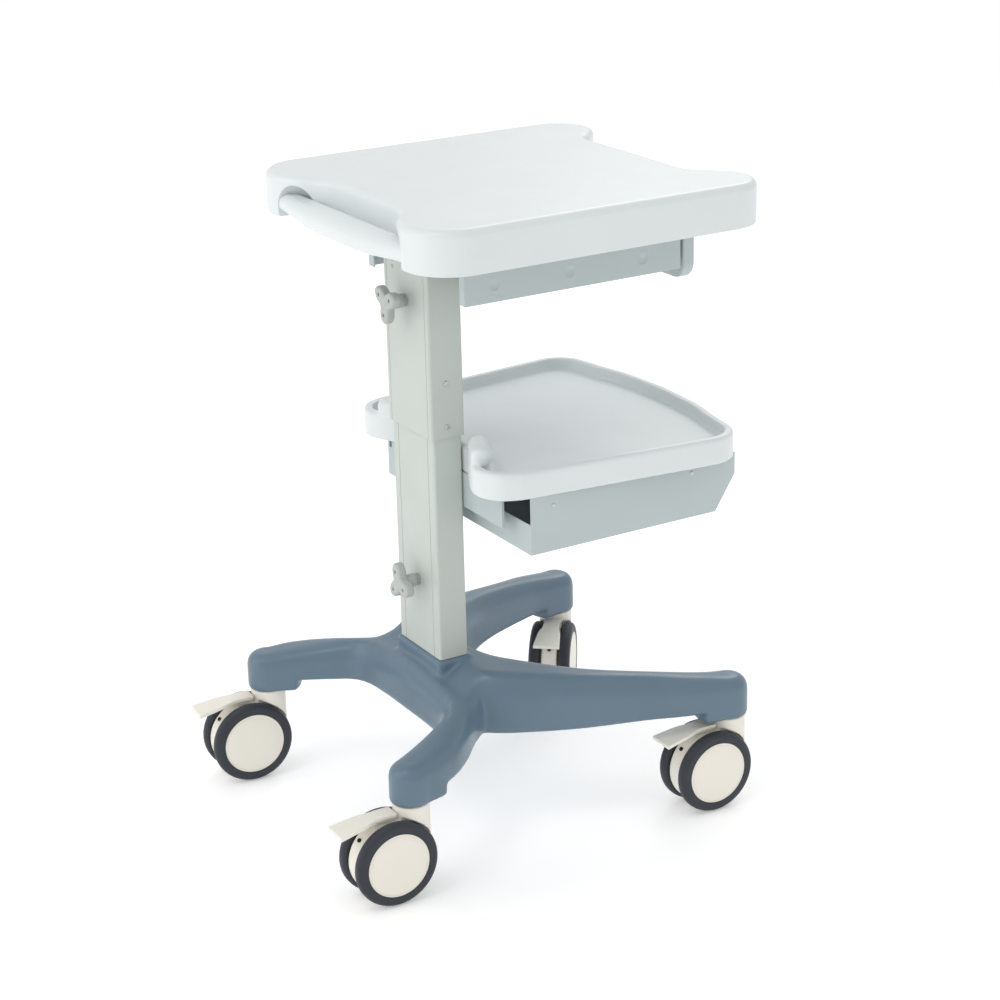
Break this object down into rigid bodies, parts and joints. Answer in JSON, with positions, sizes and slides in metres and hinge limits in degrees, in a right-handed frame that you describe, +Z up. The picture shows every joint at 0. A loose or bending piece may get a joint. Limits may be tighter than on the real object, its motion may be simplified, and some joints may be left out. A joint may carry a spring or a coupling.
{
  "type": "ultrasound trolley",
  "caption": "Height-adjustable cart for a portable ultrasound scanner: top tray with handle and drawer, telescoping clamped column, rimmed shelf with box, braked swivel casters.",
  "frame": {"origin": "floor level, under the middle of the bounding box", "axes": "+Z up; +X from the handle end to the drawer front; +Y to the left when pushing along +X"},
  "size_m": [0.565, 0.4406, 0.7515],
  "materials": {
    "shell": "semi-gloss off-white moulding",
    "column": "satin warm light grey powder coat",
    "knob": "satin light grey moulding",
    "sheet": "satin light grey powder coat",
    "base": "satin blue-grey coat over a cast frame",
    "cream": "satin cream nylon",
    "rubber": "matt dark blue-grey tread",
    "steel": "zinc-plated steel",
    "glide": "dark nylon"
  },
  "bodies": {
    "base": {"base_frame": "base", "post_flange": "steel", "base_post": "steel", "rear_right_caster_stem": "steel", "rear_left_caster_stem": "steel", "front_right_caster_stem": "steel", "front_left_caster_stem": "steel"},
    "column": {"column_lower": "column", "column_upper": "column", "lower_glide_bush": "glide", "upper_glide_bush": "glide", "clamp_insert_lower": "steel", "clamp_insert_upper": "steel", "shelf_tray": "shell", "shelf_bracket": "sheet", "shelf_box": "sheet"},
    "tray": {"tray_post": "steel", "tray_shell": "shell", "tray_plug_1": "shell", "tray_plug_2": "shell", "tray_plug_3": "shell", "tray_plug_4": "shell", "under_tray_channel": "sheet", "tray_mount_plate": "steel", "drawer_runner_right": "steel", "drawer_runner_left": "steel"},
    "drawer": {"drawer_tub": "sheet", "drawer_front": "sheet"},
    "knob_lower": {"knob_lower": "knob", "knob_stud_lower": "steel"},
    "knob_upper": {"knob_upper": "knob", "knob_stud_upper": "steel"},
    "rear_right_swivel": {"rear_right_caster_body": "cream", "rear_right_caster_axle": "steel"},
    "rear_right_wheel_a": {"rear_right_wheel_a": "cream", "rear_right_tyre_a": "rubber"},
    "rear_right_wheel_b": {"rear_right_wheel_b": "cream", "rear_right_tyre_b": "rubber"},
    "rear_right_pedal": {"rear_right_brake_pedal": "cream"},
    "rear_left_swivel": {"rear_left_caster_body": "cream", "rear_left_caster_axle": "steel"},
    "rear_left_wheel_a": {"rear_left_wheel_a": "cream", "rear_left_tyre_a": "rubber"},
    "rear_left_wheel_b": {"rear_left_wheel_b": "cream", "rear_left_tyre_b": "rubber"},
    "rear_left_pedal": {"rear_left_brake_pedal": "cream"},
    "front_right_swivel": {"front_right_caster_body": "cream", "front_right_caster_axle": "steel"},
    "front_right_wheel_a": {"front_right_wheel_a": "cream", "front_right_tyre_a": "rubber"},
    "front_right_wheel_b": {"front_right_wheel_b": "cream", "front_right_tyre_b": "rubber"},
    "front_right_pedal": {"front_right_brake_pedal": "cream"},
    "front_left_swivel": {"front_left_caster_body": "cream", "front_left_caster_axle": "steel"},
    "front_left_wheel_a": {"front_left_wheel_a": "cream", "front_left_tyre_a": "rubber"},
    "front_left_wheel_b": {"front_left_wheel_b": "cream", "front_left_tyre_b": "rubber"},
    "front_left_pedal": {"front_left_brake_pedal": "cream"}
  },
  "joints": [
    {"name": "column_lift", "type": "slide", "parent": "base", "child": "column", "axis": [0, 0, 1], "range_m": [0, 0.1]},
    {"name": "tray_lift", "type": "slide", "parent": "column", "child": "tray", "axis": [0, 0, 1], "range_m": [0, 0.15]},
    {"name": "drawer_slide", "type": "slide", "parent": "tray", "child": "drawer", "axis": [1, 0, 0], "range_m": [0, 0.2]},
    {"name": "knob_lower_turn", "type": "hinge", "parent": "column", "child": "knob_lower", "pos_m": [-0.09096, -0.00132, 0.287], "axis": [1, 0, 0], "range_deg": [0, 360]},
    {"name": "knob_upper_turn", "type": "hinge", "parent": "column", "child": "knob_upper", "pos_m": [-0.09596, -0.00132, 0.624], "axis": [1, 0, 0], "range_deg": [0, 360]},
    {"name": "rear_right_swivel_turn", "type": "hinge", "parent": "base", "child": "rear_right_swivel", "pos_m": [-0.18636, -0.18292, 0.1115], "axis": [0, 0, 1], "continuous": true},
    {"name": "rear_right_wheel_a_spin", "type": "hinge", "parent": "rear_right_swivel", "child": "rear_right_wheel_a", "pos_m": [-0.21676, -0.18238, 0.05], "axis": [0.0175, 0.9998, 0], "continuous": true},
    {"name": "rear_right_wheel_b_spin", "type": "hinge", "parent": "rear_right_swivel", "child": "rear_right_wheel_b", "pos_m": [-0.21676, -0.18238, 0.05], "axis": [0.0175, 0.9998, 0], "continuous": true},
    {"name": "rear_right_pedal_press", "type": "hinge", "parent": "rear_right_swivel", "child": "rear_right_pedal", "pos_m": [-0.21236, -0.18246, 0.099], "axis": [-0.0175, -0.9998, 0], "range_deg": [0, 10]},
    {"name": "rear_left_swivel_turn", "type": "hinge", "parent": "base", "child": "rear_left_swivel", "pos_m": [-0.18636, 0.18028, 0.1115], "axis": [0, 0, 1], "continuous": true},
    {"name": "rear_left_wheel_a_spin", "type": "hinge", "parent": "rear_left_swivel", "child": "rear_left_wheel_a", "pos_m": [-0.21663, 0.18315, 0.05], "axis": [0.0941, 0.9956, 0], "continuous": true},
    {"name": "rear_left_wheel_b_spin", "type": "hinge", "parent": "rear_left_swivel", "child": "rear_left_wheel_b", "pos_m": [-0.21663, 0.18315, 0.05], "axis": [0.0941, 0.9956, 0], "continuous": true},
    {"name": "rear_left_pedal_press", "type": "hinge", "parent": "rear_left_swivel", "child": "rear_left_pedal", "pos_m": [-0.21224, 0.18273, 0.099], "axis": [-0.0941, -0.9956, 0], "range_deg": [0, 10]},
    {"name": "front_right_swivel_turn", "type": "hinge", "parent": "base", "child": "front_right_swivel", "pos_m": [0.23724, -0.19292, 0.1115], "axis": [0, 0, 1], "continuous": true},
    {"name": "front_right_wheel_a_spin", "type": "hinge", "parent": "front_right_swivel", "child": "front_right_wheel_a", "pos_m": [0.20685, -0.19223, 0.05], "axis": [0.0227, 0.9997, 0], "continuous": true},
    {"name": "front_right_wheel_b_spin", "type": "hinge", "parent": "front_right_swivel", "child": "front_right_wheel_b", "pos_m": [0.20685, -0.19223, 0.05], "axis": [0.0227, 0.9997, 0], "continuous": true},
    {"name": "front_right_pedal_press", "type": "hinge", "parent": "front_right_swivel", "child": "front_right_pedal", "pos_m": [0.21125, -0.19233, 0.099], "axis": [-0.0227, -0.9997, 0], "range_deg": [0, 10]},
    {"name": "front_left_swivel_turn", "type": "hinge", "parent": "base", "child": "front_left_swivel", "pos_m": [0.23724, 0.19028, 0.1115], "axis": [0, 0, 1], "continuous": true},
    {"name": "front_left_wheel_a_spin", "type": "hinge", "parent": "front_left_swivel", "child": "front_left_wheel_a", "pos_m": [0.21786, 0.16686, 0.05], "axis": [-0.7705, 0.6374, 0], "continuous": true},
    {"name": "front_left_wheel_b_spin", "type": "hinge", "parent": "front_left_swivel", "child": "front_left_wheel_b", "pos_m": [0.21786, 0.16686, 0.05], "axis": [-0.7705, 0.6374, 0], "continuous": true},
    {"name": "front_left_pedal_press", "type": "hinge", "parent": "front_left_swivel", "child": "front_left_pedal", "pos_m": [0.22067, 0.17025, 0.099], "axis": [0.7705, -0.6374, 0], "range_deg": [0, 10]}
  ]
}
